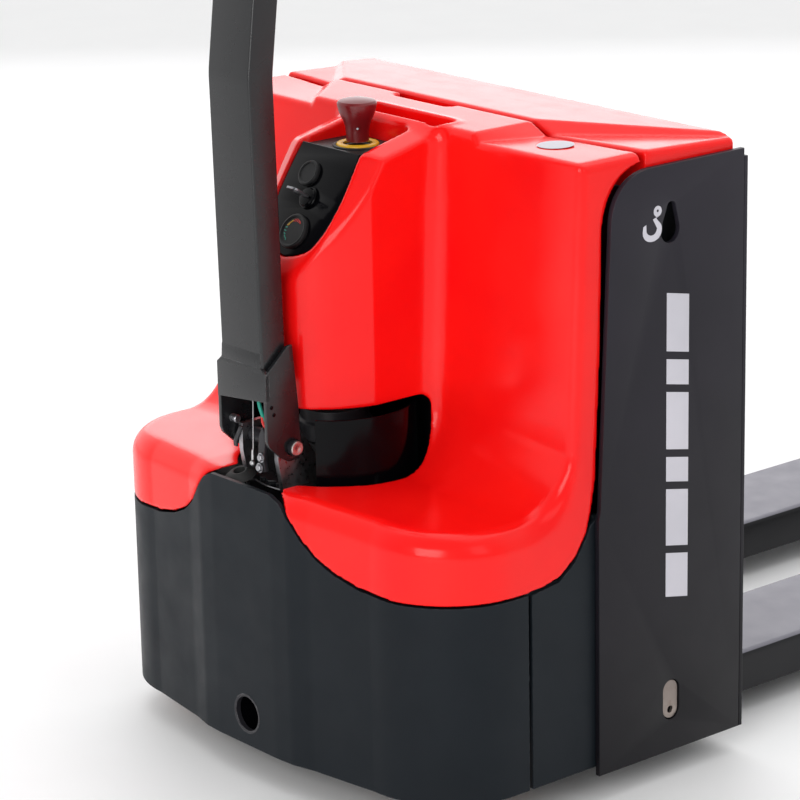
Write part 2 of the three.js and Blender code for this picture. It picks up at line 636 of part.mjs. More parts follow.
add('torsion_shaft', torsionShaft(), steel);
add('battery', battery(), greyPlastic);
add('battery_plug', batteryPlug(), greyPlastic);
add('battery_lid', lid(), red);
add('lift_barrel', liftBarrel(), darkPaint);
add('lift_ram', liftRam(), alloy);
add('motor_controller', join(box(80, 270, -241.7, -205, 430, 600),
  box(90, 260, -210, -196, 440, 590)), darkPaint);
add('hydraulic_tank', join(box(-330, -245, -241.7, -182, 390, 560), rod('z', 12, 555, 572, -287, -212, 16)),
  blackPlastic);
add('pump_motor', join(rod('z', 28, 395, 520, -130, -210, 20),
  box(-152, -108, -241.7, -190, 420, 500)), darkPaint);
add('contactor', join(box(0, 50, -241.7, -200, 430, 500), rod('z', 6, 495, 512, 14, -221, 12)), greyPlastic);
add('horn', rod('y', 34, -275, -250.3, 250, 560, 20, 26), blackPlastic);

// Origin: on the floor, at the middle of the overall footprint
const overall = new THREE.Box3().setFromObject(root);
root.position.y = -(overall.min.y + overall.max.y) / 2;

export default root;
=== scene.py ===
import json
import math

import bmesh
import bpy
import numpy as np
import openvdb
from mathutils import Matrix, Vector


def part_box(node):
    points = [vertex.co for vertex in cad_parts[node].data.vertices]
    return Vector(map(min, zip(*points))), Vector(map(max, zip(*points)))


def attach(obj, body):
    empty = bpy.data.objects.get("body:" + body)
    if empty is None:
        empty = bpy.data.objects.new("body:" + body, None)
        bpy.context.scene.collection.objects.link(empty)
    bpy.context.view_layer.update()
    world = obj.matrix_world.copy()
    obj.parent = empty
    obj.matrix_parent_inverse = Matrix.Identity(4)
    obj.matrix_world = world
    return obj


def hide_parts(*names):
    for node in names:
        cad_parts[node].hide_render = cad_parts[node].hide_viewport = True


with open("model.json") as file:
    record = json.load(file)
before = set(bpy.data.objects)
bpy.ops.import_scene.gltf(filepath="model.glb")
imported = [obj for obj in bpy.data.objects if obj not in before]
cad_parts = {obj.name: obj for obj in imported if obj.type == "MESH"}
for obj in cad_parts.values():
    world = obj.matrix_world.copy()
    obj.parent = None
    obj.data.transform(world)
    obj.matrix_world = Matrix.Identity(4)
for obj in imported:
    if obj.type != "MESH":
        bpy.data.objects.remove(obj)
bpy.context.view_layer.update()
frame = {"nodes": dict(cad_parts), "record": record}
nodes = frame["nodes"]
mm = 0.001
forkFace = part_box("lift_frame")[1].y  # everything is laid out in mm from here, back to front is -Y
print("frame loaded:", len(nodes), "CAD nodes")


def at(x, y, z):
    return Vector((x * mm, y * mm + forkFace, z * mm))


cameraSet = {"place": (3159, -2871, 1685), "azimuth": 50.5, "pitch": 16.77, "roll": -1.15, "lens": 148.9}


def makeCamera():
    a, e, r = (math.radians(cameraSet[k]) for k in ("azimuth", "pitch", "roll"))
    back = Vector((math.sin(a) * math.cos(e), -math.cos(a) * math.cos(e), math.sin(e)))
    right = Vector((math.cos(a), math.sin(a), 0))
    up = back.cross(right)
    right, up = right * math.cos(r) + up * math.sin(r), up * math.cos(r) - right * math.sin(r)
    data = bpy.data.cameras.new("camera")
    data.lens = cameraSet["lens"]
    data.clip_end = 100
    cam = bpy.data.objects.new("camera", data)
    bpy.context.scene.collection.objects.link(cam)
    turn = Matrix((right, up, back)).transposed().to_4x4()
    cam.matrix_world = Matrix.Translation(at(*cameraSet["place"])) @ turn
    bpy.context.scene.camera = cam


lightSet = {
    # name: place, aimed at, size x, size y, watts, colour
    "overheadBox": ((-200, 300, 3000), (0, -200, 600), 3.2, 2.6, 20, (1, 1, 1)),
    "backBox": ((-3400, 2600, 1900), (0, -200, 750), 3.6, 2.6, 27, (1, 0.97, 1)),
    "frontBox": ((1900, -3700, 1700), (0, -300, 500), 2.0, 2.2, 62, (1, 0.99, 0.98)),
    "sideBox": ((3600, -500, 2300), (300, -200, 500), 1.2, 2.4, 8, (0.95, 0.97, 1)),
}
worldSet = {"colour": (1, 1, 1, 1), "strength": (0.52, 1.22), "backdrop": (-0.77, 0.64, 0)}


def makeLights():
    for name, (place, aim, wide, high, watts, colour) in lightSet.items():
        data = bpy.data.lights.new(name, "AREA")
        data.shape = "RECTANGLE"
        data.size, data.size_y = wide, high
        data.energy = watts
        data.color = colour
        lamp = bpy.data.objects.new(name, data)
        bpy.context.scene.collection.objects.link(lamp)
        lamp.location = at(*place)
        lamp.rotation_mode = "QUATERNION"
        lamp.rotation_quaternion = (at(*aim) - at(*place)).to_track_quat("-Z", "Y")
    world = bpy.data.worlds.new("studio")
    world.use_nodes = True
    tree = world.node_tree
    # brighter towards the backdrop, dimmer behind the viewer
    way = tree.nodes.new("ShaderNodeVectorMath")
    way.operation = "DOT_PRODUCT"
    way.inputs[1].default_value = worldSet["backdrop"]
    tree.links.new(tree.nodes.new("ShaderNodeTexCoord").outputs["Generated"], way.inputs[0])
    shadeRamp = tree.nodes.new("ShaderNodeMapRange")
    shadeRamp.inputs["From Min"].default_value, shadeRamp.inputs["From Max"].default_value = -0.5, 0.6
    shadeRamp.inputs["To Min"].default_value, shadeRamp.inputs["To Max"].default_value = worldSet["strength"]
    tree.links.new(way.outputs["Value"], shadeRamp.inputs["Value"])
    tree.nodes["Background"].inputs["Color"].default_value = worldSet["colour"]
    tree.links.new(shadeRamp.outputs["Result"], tree.nodes["Background"].inputs["Strength"])
    bpy.context.scene.world = world
    bpy.context.scene.view_settings.view_transform = "Standard"


class Look:
    # one material being wired: small helpers round its node tree
    def __init__(self, name):
        self.mat = bpy.data.materials.new(name)
        self.mat.use_nodes = True
        self.tree = self.mat.node_tree
        self.shader = self.tree.nodes["Principled BSDF"]
        self.place = self.node("ShaderNodeTexCoord").outputs["Object"]

    def node(self, kind, **inputs):
        made = self.tree.nodes.new(kind)
        for key, value in inputs.items():
            self.feed(made, key, value)
        return made

    def feed(self, made, key, value):
        socket = made.inputs[key]
        if isinstance(value, bpy.types.NodeSocket):
            self.tree.links.new(value, socket)
        else:
            socket.default_value = value

    def noise(self, scale, detail=4, stretch=None):
        source = self.place
        if stretch:
            shift = self.node("ShaderNodeMapping", Vector=source, Scale=stretch)
            source = shift.outputs["Vector"]
        return self.node("ShaderNodeTexNoise", Vector=source, Scale=scale, Detail=detail).outputs["Fac"]

    def spread(self, value, low, high, outLow=0.0, outHigh=1.0):
        made = self.node("ShaderNodeMapRange")
        self.feed(made, "Value", value)
        for key, number in zip(("From Min", "From Max", "To Min", "To Max"), (low, high, outLow, outHigh)):
            made.inputs[key].default_value = number
        return made.outputs["Result"]

    def mix(self, share, one, two):
        made = self.tree.nodes.new("ShaderNodeMix")
        made.data_type = "RGBA"
        for key, value in ((0, share), (6, one), (7, two)):  # the colour sockets are 6 and 7
            self.feed(made, key, value)
        return made.outputs[2]

    def calc(self, operation, one, two):
        made = self.tree.nodes.new("ShaderNodeMath")
        made.operation = operation
        made.use_clamp = operation != "SUBTRACT"
        for key, value in enumerate((one, two)):
            self.feed(made, key, value)
        return made.outputs[0]

    def part(self, vector, letter):
        return self.node("ShaderNodeSeparateXYZ", Vector=vector).outputs[letter]

    def edges(self, reach=0.0016):
        # 0 on flat stretches, 1 on edges
        soft = self.node("ShaderNodeBevel", Radius=reach)
        soft.samples = 4
        bent = self.tree.nodes.new("ShaderNodeVectorMath")
        bent.operation = "DOT_PRODUCT"
        self.tree.links.new(soft.outputs["Normal"], bent.inputs[0])
        self.tree.links.new(self.node("ShaderNodeNewGeometry").outputs["Normal"], bent.inputs[1])
        return self.spread(bent.outputs["Value"], 0.97, 0.8)

    def bump(self, height, strength, distance=0.0004):
        made = self.node("ShaderNodeBump", Height=height, Strength=strength, Distance=distance)
        return made.outputs["Normal"]


def rgb(r, g, b):
    return (r, g, b, 1)


def paintLook(name, colour, shade, rough=(0.3, 0.4), metal=0.0, peel=0.06, peelScale=900, wear=None,
              wearAmount=0.5, specular=0.5, dust=0.0, shadeRamp=None, paintedTopSheen=None):
    # sprayed, moulded or powder coated surface: two tones, orange peel, worn edges, faint dust; where asked,
    # painted shade towards the floor and a painted sheen on upward faces
    look = Look(name)
    base = look.mix(look.spread(look.noise(7, 5), 0.35, 0.68), colour, shade)
    fine = look.noise(peelScale, 2)
    if dust:
        cloud = look.calc("MULTIPLY", look.spread(look.noise(18, 6), 0.5, 0.8), dust)
        base = look.mix(cloud, base, rgb(0.32, 0.31, 0.3))
    if wear:
        scratch = look.calc("MULTIPLY", look.edges(), look.spread(look.noise(160, 5), 0.46, 0.6))
        base = look.mix(look.calc("MULTIPLY", scratch, wearAmount), base, wear)
    if shadeRamp:
        # painted shade: darker and duller towards the floor, standing in for the light falling off down the
        # plate
        litByHeight = look.spread(look.part(look.place, "Z"), *shadeRamp)
        base = look.mix(litByHeight, look.mix(0.72, base, rgb(0, 0, 0)), base)
    if paintedTopSheen:
        # painted sheen: upward faces lighter, standing in for the sky reflected on the tops
        flat = look.node("ShaderNodeNewGeometry").outputs["Normal"]
        base = look.mix(look.spread(look.part(flat, "Z"), 0.5, 0.95), base, paintedTopSheen)
    look.feed(look.shader, "Base Color", base)
    cloud = look.noise(23, 5)
    look.feed(look.shader, "Roughness", look.spread(cloud, 0.3, 0.7, *rough))
    look.feed(look.shader, "Metallic", metal)
    look.feed(look.shader, "Specular IOR Level", specular)
    look.feed(look.shader, "Normal", look.bump(fine, peel))
    return look.mat


def metalLook(name, colour, shade, rough=(0.25, 0.45), brushed=(1, 1, 1), bumpy=0.12, scale=220, rust=0.0):
    # bare, plated or cast metal: brushed or grainy, darker in places, a touch of rust
    look = Look(name)
    grain = look.noise(scale, 6, stretch=brushed)
    base = look.mix(look.spread(look.noise(14, 6), 0.36, 0.66), colour, shade)
    if rust:
        spots = look.calc("MULTIPLY", look.spread(look.noise(90, 8), 0.56, 0.7), rust)
        base = look.mix(spots, base, rgb(0.13, 0.055, 0.025))
    look.feed(look.shader, "Base Color", base)
    look.feed(look.shader, "Roughness", look.spread(grain, 0.3, 0.7, *rough))
    look.feed(look.shader, "Metallic", 1.0)
    look.feed(look.shader, "Normal", look.bump(grain, bumpy, 0.0003))
    return look.mat


def rubberLook(name, colour, shade, rough=(0.6, 0.8), bumpy=0.25, scale=420):
    look = Look(name)
    base = look.mix(look.spread(look.noise(30, 6), 0.35, 0.7), colour, shade)
    chalk = look.calc("MULTIPLY", look.edges(), 0.25)
    look.feed(look.shader, "Base Color", look.mix(chalk, base, rgb(0.22, 0.21, 0.2)))
    look.feed(look.shader, "Roughness", look.spread(look.noise(55, 4), 0.3, 0.7, *rough))
    look.feed(look.shader, "Normal", look.bump(look.noise(scale, 3), bumpy))
    return look.mat


def makeLooks():
    red, deepRed = rgb(0.95, 0.008, 0.006), rgb(0.88, 0.004, 0.005)
    return {
        "red_cover": paintLook("redCover", red, deepRed, rough=(0.14, 0.22), peel=0.02, peelScale=420,
                               wear=rgb(1, 0.2, 0.16), wearAmount=0.2, specular=0.29),
        "knobRed": paintLook("knobRed", rgb(0.17, 0.005, 0.008), rgb(0.12, 0.003, 0.005), rough=(0.24, 0.36),
                             peel=0.1, wear=rgb(0.5, 0.05, 0.05)),
        # painted shade: the plates darken towards the floor
        "black_plate": paintLook("blackPlate", rgb(0.02, 0.0175, 0.026), rgb(0.016, 0.0145, 0.021),
                                 specular=0.24, shadeRamp=(0.1, 0.78), rough=(0.36, 0.46), peel=0.16,
                                 wear=rgb(0.16, 0.16, 0.17), dust=0.004),
        "apron": paintLook("apronPlate", rgb(0.010, 0.0135, 0.0175), rgb(0.0075, 0.0105, 0.014),
                           specular=0.14, rough=(0.4, 0.52), peel=0.18,
                           wear=rgb(0.12, 0.13, 0.14), dust=0.004),
        "tiller": paintLook("tillerPaint", rgb(0.009, 0.0095, 0.011), rgb(0.006, 0.0065, 0.008),
                            specular=0.55, rough=(0.22, 0.32), peel=0.08,
                            wear=rgb(0.3, 0.3, 0.31), dust=0.006),
        "dark_plate": paintLook("darkPlate", rgb(0.02, 0.0195, 0.024), rgb(0.014, 0.0135, 0.017),
                                specular=0.4, rough=(0.36, 0.5), peel=0.14, wear=rgb(0.3, 0.3, 0.31),
                                wearAmount=0.6, dust=0.01),
        "black_plastic": paintLook("blackPlastic", rgb(0.006, 0.006, 0.007), rgb(0.004, 0.004, 0.005),
                                   specular=0.3, rough=(0.42, 0.56), peel=0.4, peelScale=1400,
                                   wear=rgb(0.08, 0.08, 0.08)),
        "gloss_black": paintLook("glossBlack", rgb(0.002, 0.002, 0.003), rgb(0.0012, 0.0012, 0.0018),
                                 rough=(0.1, 0.18), peel=0.02, specular=0.1),
        # painted sheen: the fork tops are lightened where they face up
        "fork": paintLook("forkPaint", rgb(0.006, 0.006, 0.008), rgb(0.004, 0.004, 0.006), specular=0.3,
                          rough=(0.3, 0.42), peel=0.12, wear=rgb(0.2, 0.2, 0.22),
                          paintedTopSheen=rgb(0.16, 0.155, 0.19)),
        "steel": metalLook("platedSteel", rgb(0.42, 0.42, 0.44), rgb(0.3, 0.3, 0.32), rust=0.25),
        "cast_iron": metalLook("castIron", rgb(0.1, 0.1, 0.105), rgb(0.06, 0.06, 0.062), rough=(0.5, 0.7),
                               bumpy=0.6, scale=500, rust=0.4),
        "alloy": metalLook("castAlloy", rgb(0.5, 0.5, 0.51), rgb(0.4, 0.4, 0.41), rough=(0.3, 0.48),
                           bumpy=0.25, scale=380),
        "turnedPin": metalLook("turnedPin", rgb(0.62, 0.58, 0.56), rgb(0.5, 0.46, 0.44), rough=(0.3, 0.42)),
        "lockPlate": metalLook("lockPlate", rgb(0.36, 0.31, 0.28), rgb(0.26, 0.22, 0.2), rough=(0.35, 0.5),
                               brushed=(1, 8, 1), rust=0.2),
        "rubber": rubberLook("wheelRubber", rgb(0.02, 0.02, 0.02), rgb(0.012, 0.012, 0.012)),
        "polyurethane": rubberLook("rollerPlastic", rgb(0.42, 0.16, 0.03), rgb(0.33, 0.11, 0.02),
                                   rough=(0.35, 0.5), bumpy=0.1),
        "yellow_plastic": paintLook("yellowPlastic", rgb(0.82, 0.46, 0.01), rgb(0.7, 0.38, 0.01),
                                    rough=(0.3, 0.4)),
        "grey_plastic": paintLook("greyPlastic", rgb(0.13, 0.14, 0.155), rgb(0.1, 0.108, 0.12),
                                  rough=(0.45, 0.6), peel=0.35, peelScale=1300, wear=rgb(0.3, 0.3, 0.3)),
        "mark": paintLook("lightMark", rgb(0.6, 0.585, 0.64), rgb(0.54, 0.53, 0.58), rough=(0.5, 0.6)),
        "label": paintLook("yellowLabel", rgb(0.95, 0.74, 0.0), rgb(0.88, 0.66, 0.0), rough=(0.35, 0.45)),
        "tealWire": paintLook("tealWire", rgb(0.0, 0.36, 0.26), rgb(0.0, 0.28, 0.2), rough=(0.35, 0.45)),
        "redWire": paintLook("redWire", rgb(0.7, 0.03, 0.02), rgb(0.55, 0.02, 0.02), rough=(0.35, 0.45)),
        "floor": paintLook("paleFloor", rgb(0.97, 0.97, 0.972), rgb(0.955, 0.955, 0.958), rough=(0.6, 0.7),
                           peel=0.02),
    }


makeCamera()
makeLights()
looks = makeLooks()
slotNames = {m["slot"] for m in frame["record"]["materials"]}
print("camera, lights and", len(looks), "materials made")


floorSet = {"half": 30, "drop": 0.0005}  # metres


def makeFloor():
    bm = bmesh.new()
    bmesh.ops.create_grid(bm, x_segments=2, y_segments=2, size=floorSet["half"])
    mesh = bpy.data.meshes.new("floor")
    bm.to_mesh(mesh)
    bm.free()
    floor = bpy.data.objects.new("floor", mesh)
    floor.location.z = -floorSet["drop"]
    bpy.context.scene.collection.objects.link(floor)
    mesh.materials.append(looks["floor"])


makeFloor()


def meshPiece(name, points, faces, sharp=32):
    mesh = bpy.data.meshes.new(name)
    places = np.array(points, float) * mm + np.array((0, forkFace, 0))
    mesh.from_pydata(places.tolist(), [], [list(f) for f in faces])
    mesh.update()
    mesh.shade_smooth()
    if sharp:
        mesh.set_sharp_from_angle(angle=math.radians(sharp))
    piece = bpy.data.objects.new(name, mesh)
    bpy.context.scene.collection.objects.link(piece)
    return piece


def roundEdges(piece, width, segments=2, angle=30, weld=False):
    if weld:
        piece.modifiers.new("weld", "WELD").merge_threshold = 0.00002
    bevel = piece.modifiers.new("roundEdges", "BEVEL")
    bevel.width = width * mm
    bevel.segments = segments
    bevel.angle_limit = math.radians(angle)
    bevel.harden_normals = False
    piece.modifiers.new("evenNormals", "WEIGHTED_NORMAL").keep_sharp = not weld
    return piece


def settle(piece, body, look, stands=(), slot=None):
    piece.data.materials.clear()
    piece.data.materials.append(looks[look])
    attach(piece, body)
    slot = slot or (look if look in slotNames else None)
    if stands:
        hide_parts(*([stands] if isinstance(stands, str) else stands))
    return piece


def circlePoints(cx, cy, r, n=40, start=0.0, end=360.0, ry=None):
    closed = abs(end - start) >= 360
    steps = n if closed else n + 1
    angles = [math.radians(start + (end - start) * i / n) for i in range(steps)]
    return [(cx + r * math.cos(a), cy + (ry or r) * math.sin(a)) for a in angles]


def bendPoints(p0, c0, c1, p1, n=10):
    out = []
    for i in range(n + 1):
        t = i / n
        w = ((1 - t) ** 3, 3 * t * (1 - t) ** 2, 3 * t * t * (1 - t), t ** 3)
        out.append(tuple(sum(k * p[j] for k, p in zip(w, (p0, c0, c1, p1))) for j in (0, 1)))
    return out


def softBox(x0, x1, y0, y1, r, n=6):
    out = []
    left, right, low, high = x0 + r, x1 - r, y0 + r, y1 - r
    for cx, cy, a in ((right, low, -90), (right, high, 0), (left, high, 90), (left, low, 180)):
        out += circlePoints(cx, cy, r, n, a, a + 90)
    return out


axisTurns = {  # flat outline (u, v) and thickness w to the frame's axes
    "x": Matrix(((0, 0, 1, 0), (1, 0, 0, 0), (0, 1, 0, 0), (0, 0, 0, 1))),
    "y": Matrix(((1, 0, 0, 0), (0, 0, -1, 0), (0, 1, 0, 0), (0, 0, 0, 1))),
    "z": Matrix.Identity(4),
}


def platePiece(name, outline, axis, low, high, holes=(), edge=1.0, turn=None):
    # flat plate cut from an outline with holes, its rims rounded by edge
    curve = bpy.data.curves.new(name, "CURVE")
    curve.dimensions = "2D"
    curve.fill_mode = "BOTH"
    curve.extrude = max(0.0, (high - low) / 2 - edge) * mm
    curve.bevel_depth = edge * mm
    curve.bevel_resolution = 2
    curve.offset = -edge * mm
    for loop in (outline, *holes):
        spline = curve.splines.new("POLY")
        spline.points.add(len(loop) - 1)
        for point, (u, v) in zip(spline.points, loop):
            point.co = (u * mm, v * mm, 0, 1)
        spline.use_cyclic_u = True
    draft = bpy.data.objects.new(name, curve)
    bpy.context.scene.collection.objects.link(draft)
    graph = bpy.context.evaluated_depsgraph_get()
    mesh = bpy.data.meshes.new_from_object(draft.evaluated_get(graph))
    bpy.data.objects.remove(draft)
    bpy.data.curves.remove(curve)
    mid = (low + high) / 2 * mm
    if turn is None:
        shift = {"x": (mid, forkFace, 0), "y": (0, mid + forkFace, 0), "z": (0, forkFace, mid)}[axis]
        turn = Matrix.Translation(shift) @ axisTurns[axis]
    mesh.transform(turn)
    bm = bmesh.new()
    bm.from_mesh(mesh)
    bmesh.ops.remove_doubles(bm, verts=bm.verts, dist=1e-6)
    bmesh.ops.recalc_face_normals(bm, faces=bm.faces)
    bm.to_mesh(mesh)
    bm.free()
    mesh.name = name
    mesh.shade_smooth()
    mesh.set_sharp_from_angle(angle=math.radians(40))
    piece = bpy.data.objects.new(name, mesh)
    bpy.context.scene.collection.objects.link(piece)
    return piece


def turnedPiece(name, profile, place, axis=(0, 0, 1), segments=64, sharp=32):
    # profile of (radius, height) pairs in mm about the axis through place
    axis = Vector(axis).normalized()
    side = axis.orthogonal().normalized()
    other = axis.cross(side)
    centre = Vector(place)
    points, faces, rows = [], [], []
    for r, h in profile:
        if r < 0.01:
            rows.append([len(points)])
            points.append(centre + axis * h)
            continue
        rows.append(list(range(len(points), len(points) + segments)))
        for i in range(segments):
            a = 2 * math.pi * i / segments
            points.append(centre + axis * h + (side * math.cos(a) + other * math.sin(a)) * r)
    for one, two in zip(rows, rows[1:]):
        for i in range(segments):
            j = (i + 1) % segments
            loop = [one[i % len(one)], one[j % len(one)], two[j % len(two)], two[i % len(two)]]
            loop = list(dict.fromkeys(loop))
            if len(loop) > 2:
                faces.append(loop)
    return meshPiece(name, points, faces, sharp)


def wirePiece(name, path, radius, smooth=True, sides=4):
    curve = bpy.data.curves.new(name, "CURVE")
    curve.dimensions = "3D"
    curve.bevel_depth = radius * mm
    curve.bevel_resolution = sides
    curve.use_fill_caps = True
    spline = curve.splines.new("BEZIER" if smooth else "POLY")
    if smooth:
        spline.bezier_points.add(len(path) - 1)
        for point, p in zip(spline.bezier_points, path):
            point.co = at(*p)
            point.handle_left_type = point.handle_right_type = "AUTO"
        spline.resolution_u = 8
    else:
        spline.points.add(len(path) - 1)
        for point, p in zip(spline.points, path):
            point.co = (*at(*p), 1)
    draft = bpy.data.objects.new(name, curve)
    bpy.context.scene.collection.objects.link(draft)
    mesh = bpy.data.meshes.new_from_object(draft.evaluated_get(bpy.context.evaluated_depsgraph_get()))
    bpy.data.objects.remove(draft)
    mesh.name = name
    mesh.shade_smooth()
    mesh.set_sharp_from_angle(angle=math.radians(50))
    piece = bpy.data.objects.new(name, mesh)
    bpy.context.scene.collection.objects.link(piece)
    return piece


def joinPieces(name, parts):
    # several meshes with one material into one piece
    bm = bmesh.new()
    for part in parts:
        bm.from_mesh(part.data)
        bpy.data.objects.remove(part)
    mesh = bpy.data.meshes.new(name)
    bm.to_mesh(mesh)
    bm.free()
    piece = bpy.data.objects.new(name, mesh)
    bpy.context.scene.collection.objects.link(piece)
    return piece


def screwHead(name, place, axis, across=10, height=5):
    # hexagon head on a round washer
    axis = Vector(axis).normalized()
    r = across / 2 / math.cos(math.radians(30))
    profile = [(0, 1), (r, 1), (r, height - 0.6), (r * 0.86, height), (0, height)]
    head = turnedPiece(name, profile, place, axis, 6, 20)
    washer = turnedPiece(name, [(0, 0), (r * 1.35, 0), (r * 1.35, 1), (0, 1)], place, axis, 24)
    return joinPieces(name, [head, washer])


def bothOf(a, b, r):
    # moulded shells are distance fields on a grid
    # this is where two solids overlap, the meeting edge rounded by r
    return np.minimum(np.maximum(a, b), -r) + np.sqrt(np.maximum(a + r, 0) ** 2 + np.maximum(b + r, 0) ** 2)


def eitherOf(a, b, r):
    return -bothOf(-a, -b, r)


def awayFrom(a, tool, r):
    return bothOf(a, -tool, r)


def outlineField(u, v, outline):
    # signed distance to a closed outline, negative inside
    best = np.full(np.broadcast(u, v).shape, 1e9, np.float32)
    inside = np.zeros(best.shape, bool)
    for (ax, ay), (bx, by) in zip(outline, outline[1:] + outline[:1]):
        dx, dy = bx - ax, by - ay
        t = np.clip(((u - ax) * dx + (v - ay) * dy) / (dx * dx + dy * dy), 0, 1)
        best = np.minimum(best, (u - ax - t * dx) ** 2 + (v - ay - t * dy) ** 2)
        if ay != by:
            inside ^= ((ay > v) != (by > v)) & (u < dx * (v - ay) / dy + ax)
    return np.where(inside, -1, 1) * np.sqrt(best)


def fieldPiece(name, field, low, high, cell, sharp=None):
    # skin of a distance field between two corners, in mm
    counts = [int((b - a) / cell) + 1 for a, b in zip(low, high)]
    x, y, z = (np.float32(a) + np.arange(n, dtype=np.float32) * np.float32(cell) for a, n in zip(low, counts))
    values = field(x[:, None, None], y[None, :, None], z[None, None, :]).astype(np.float32)
    grid = openvdb.FloatGrid(cell * 4)
    grid.copyFromArray(np.array(np.broadcast_to(values, counts), np.float32, order="C"))
    points, quads = grid.convertToQuads(0.0)
    points = points * cell + np.array(low)
    return meshPiece(name, points, quads[:, ::-1], sharp)


coverSet = {
    "halfWide": 351, "wall": 4.5, "shelfTop": 400, "shelfSweep": 76, "rimRound": 30, "cornerRound": 13,
    "faceLow": (-290, 395), "faceHigh": (-272, 806), "columnHalf": 91, "columnFold": -381, "noseFront": -470,
    "deckTop": 828, "deckHalf": 155, "rearEdge": -174, "slotRound": 124.5, "slotHigh": 487, "cell": 2.6,
    # recesses: box (x, x, y, y), corner, floor height
    "stopPocket": ((-57, 57, -380, -285), 16, 793), "storageSlot": ((-94, 95, -275, -238), 15, 765),
    "fingerNotch": ((-97, 15, -190, -120), 9, 700),
}
dashTop, dashLow = (-366, 797), (-445, 673)  # slope of the dash in (y, z)
dashLean = math.atan2(dashTop[0] - dashLow[0], dashTop[1] - dashLow[1])
steerY = -375
frontY = -530


def planOutline(inset, backY):
    # flat nose, swept wings, round corners
    half = [(0, frontY), (60, frontY), (90, frontY + 2), (122, -520), (178, -512), (225, -505)]
    turns = [i / 20 * math.pi / 2 for i in range(1, 21)]
    half += [(225 + 126 * math.sin(t), -385 - 120 * math.cos(t)) for t in turns]
    right = []
    for i, (x, y) in enumerate(half):
        ax, ay = half[i - 1] if i else (-1, frontY)
        bx, by = half[i + 1] if i + 1 < len(half) else (x, y + 1)
        length = math.hypot(bx - ax, by - ay)
        right.append((x - (by - ay) / length * inset, y + (bx - ax) / length * inset))
    right.append((half[-1][0] - inset, backY))
    return right + [(-x, y) for x, y in right[:0:-1]]


apronLine = [(0, 397), (60, 396.5), (78, 388), (94, 368), (112, 345), (135, 327), (165, 314), (205, 304),
             (260, 300), (400, 300)]


def topHeight(x, y, s):
    # deck and wing tops: raised middle, facets that widen towards the rear, wings level with the lid
    side = np.abs(x)
    run = np.clip((y + 272) / 107, 0, 1)
    half = s["deckHalf"] + np.where(x < 0, 82 * run, 0)
    foot = half + 8 + 24 * run
    inner = 817.4 - 4.4 * run
    wing = inner + (818.5 - inner) * np.clip((side - foot) / (s["halfWide"] - foot), 0, 1)
    share = np.clip((side - half) / (foot - half), 0, 1)
    return np.where(side < foot, s["deckTop"] + (inner - s["deckTop"]) * share, wing)


def recessField(x, y, z, name, r):
    box, corner, floorAt = coverSet[name]
    return bothOf(outlineField(x, y, softBox(*box, corner)), floorAt - z, r)


def coverField(x, y, z):
    s = coverSet
    side = np.abs(x)
    (y0, z0), (y1, z1) = s["faceLow"], s["faceHigh"]
    lean = (y1 - y0) / (z1 - z0)
    face = ((y0 + (z - z0) * lean) - y) / math.hypot(1, lean)
    shelf = z - (s["shelfTop"] - 0.05 * np.maximum(side - 100, 0))
    top = z - topHeight(x, y, s)
    body = eitherOf(face, shelf, s["shelfSweep"])
    body = bothOf(body, top, 7)
    plan = outlineField(x, y, planOutline(0, -60))
    turn = np.clip((z - 380) / 60, 0, 1)
    body = bothOf(body, plan, s["rimRound"] + (s["cornerRound"] - s["rimRound"]) * turn)
    # steering column: flat sides, folded nose, ramp up to the deck, bevels round the dash
    half, fold = s["columnHalf"], s["columnFold"]
    deep = 130
    centre = s["noseFront"] + deep
    wide = half / math.sqrt(1 - ((fold - centre) / deep) ** 2)
    nose = [(wide * math.cos(a), centre - deep * math.sin(a)) for a in
            (math.asin((centre - fold) / deep) + (math.pi / 2 - math.asin((centre - fold) / deep)) * i / 14
             for i in range(15))]
    columnPlan = [(half, -250)] + nose + [(-px, py) for px, py in nose[-2::-1]] + [(-half, -250)]
    column = outlineField(x, y, columnPlan)
    ramp = np.minimum(s["deckTop"], 803 + (y - dashTop[0]) * 0.235) - 0.26 * np.maximum(side - 64, 0)
    column = bothOf(column, z - ramp, 5)
    proud = 8 - 0.44 * np.maximum(side - 62, 0)
    slope = -(y - dashTop[0]) * math.cos(dashLean) + (z - dashTop[1]) * math.sin(dashLean) - proud
    column = bothOf(column, slope, 5)
    body = eitherOf(body, column, 30 - 5 * np.clip((z - 740) / 60, 0, 1))
    # dash bed, stop button pocket, storage slot and finger notch
    down = ((dashTop[1] - z) * math.cos(dashLean) + (dashTop[0] - y) * math.sin(dashLean))
    bed = outlineField(x, down, dashOutline(1.5, -30))
    bed = np.maximum(bed, -(slope + proud + 3))
    bed = eitherOf(bed, recessField(x, y, z, "stopPocket", 2), 1)
    body = awayFrom(body, bed, 3)
    for name in ("storageSlot", "fingerNotch"):
        body = awayFrom(body, recessField(x, y, z, name, 3), 3)
    shell = np.maximum(body, -(body + s["wall"]))
    # open back, plate side edges, apron line, round opening over the drum
    back = np.where(z > 748, y - s["rearEdge"], y + 246)
    shell = bothOf(shell, np.where(side < 312, back, y - s["rearEdge"]), 2)
    edge = outlineField(y, z, sideEdge())
    shell = awayFrom(shell, np.maximum(edge, 312 - side), 2)
    shell = awayFrom(shell, np.maximum(apronField(x, z), y + 357.5), 2)
    around = np.sqrt(x * x + (y - steerY) ** 2) - s["slotRound"]
    drum = bothOf(around, np.abs(z - 340) - (s["slotHigh"] - 340), 16)
    return awayFrom(shell, drum, 2)


